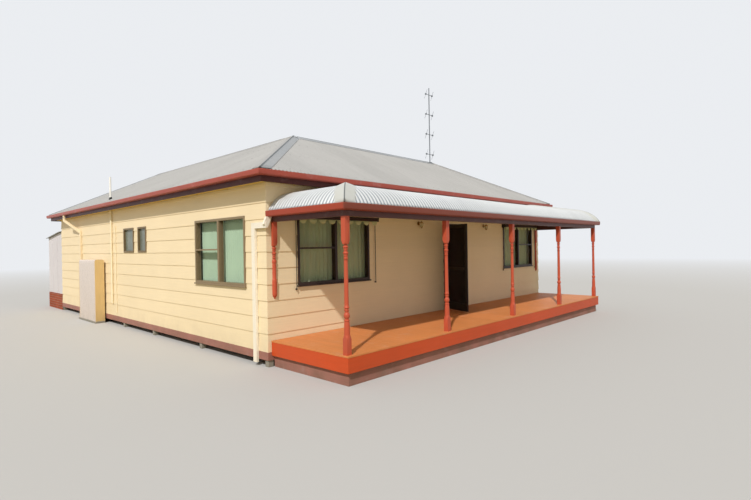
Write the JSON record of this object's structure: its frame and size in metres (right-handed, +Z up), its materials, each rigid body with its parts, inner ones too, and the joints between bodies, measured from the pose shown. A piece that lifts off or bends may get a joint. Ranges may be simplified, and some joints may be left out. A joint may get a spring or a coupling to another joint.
{
  "type": "single-storey weatherboard beach house",
  "caption": "L-shaped weatherboard beach house with a hipped iron roof, a bullnose verandah on turned posts, a painted deck, a screen door and a hinged front door.",
  "frame": {"origin": "on the ground under the middle of the whole house, verandah and lean-to included", "axes": "+X along the front from left to right, +Y from the verandah to the back, +Z up"},
  "size_m": [11.108, 16.45, 7.121],
  "materials": {
    "concrete": "rough cast concrete",
    "rust_paint": "semi-gloss painted timber",
    "floor_wood": "sealed floor boards",
    "wall_frame": "lined timber frame",
    "cream_boards": "cream painted boards",
    "ceiling_sheet": "matt painted plasterboard",
    "cream_trim": "cream painted timber",
    "maroon_paint": "semi-gloss painted timber",
    "rust_gutter": "gloss painted steel",
    "roof_iron": "light grey corrugated steel",
    "capping_iron": "folded galvanised steel",
    "deck_paint": "worn painted deck boards",
    "plinth_paint": "faded painted timber",
    "post_paint": "gloss painted turned timber",
    "verandah_iron": "white corrugated steel",
    "dark_frames": "dark bronze",
    "taupe_frames": "taupe powder coat",
    "clear_glass": "clear",
    "obscure_glass": "obscure",
    "awning_canvas": "weathered canvas",
    "dark_metal": "dark bronze",
    "net_fabric": "net curtain",
    "green_fabric": "pale green curtain",
    "rail_metal": "white",
    "mesh_black": "black fly screen",
    "lamp_brass": "aged brass",
    "pipe_plastic": "painted pipe",
    "heater_steel": "off-white enamelled steel",
    "lean_to_sheet": "pale sheet cladding",
    "brick": "red brick",
    "aerial_metal": "weathered"
  },
  "bodies": {
    "root": {"stumps": "concrete", "base_boards": "rust_paint", "floor": "floor_wood", "front_wall_left": "wall_frame", "front_wall_right": "wall_frame", "front_wall_over_door": "wall_frame", "left_wall": "wall_frame", "right_wall": "wall_frame", "inner_front_wall": "wall_frame", "inner_left_wall": "wall_frame", "rear_wall": "wall_frame", "wall_boards": "cream_boards", "ceiling": "ceiling_sheet", "eaves_lining": "cream_trim", "fascia": "maroon_paint", "roof_gutter": "rust_gutter", "roof_front": "roof_iron", "roof_left": "roof_iron", "roof_inner_front": "roof_iron", "roof_inner_left": "roof_iron", "roof_hip_ends": "roof_iron", "roof_capping": "capping_iron", "deck_boards": "deck_paint", "deck_edge": "rust_paint", "deck_plinth": "plinth_paint", "verandah_posts": "post_paint", "wall_posts": "post_paint", "verandah_beam": "maroon_paint", "verandah_gutter": "rust_gutter", "verandah_rafters": "cream_trim", "verandah_roof_front": "verandah_iron", "verandah_roof_ends": "verandah_iron", "verandah_hip_capping": "verandah_iron", "window_frames": "dark_frames", "side_window_frame": "taupe_frames", "small_window_frames": "taupe_frames", "window_glass": "clear_glass", "small_window_glass": "obscure_glass", "awnings": "awning_canvas", "awning_rods": "dark_metal", "net_curtains": "net_fabric", "side_curtains": "green_fabric", "curtain_rails": "rail_metal", "door_frame": "dark_frames", "wall_lamps": "lamp_brass", "wall_pipes": "pipe_plastic", "water_heater": "heater_steel", "downpipes": "pipe_plastic", "lean_to_walls": "lean_to_sheet", "lean_to_base": "brick", "lean_to_roof": "roof_iron", "tv_aerial": "aerial_metal"},
    "screen_leaf": {"screen_door": "dark_metal", "screen_mesh": "mesh_black"},
    "front_leaf": {"front_door": "rust_paint"}
  },
  "joints": [
    {"name": "screen_hinge", "type": "hinge", "parent": "root", "child": "screen_leaf", "pos_m": [-0.05, -6.287, 1.45], "axis": [0, 0, 1], "range_deg": [-45, 110]},
    {"name": "door_hinge", "type": "hinge", "parent": "root", "child": "front_leaf", "pos_m": [-0.05, -6.123, 1.45], "axis": [0, 0, 1], "range_deg": [0, 90]}
  ]
}
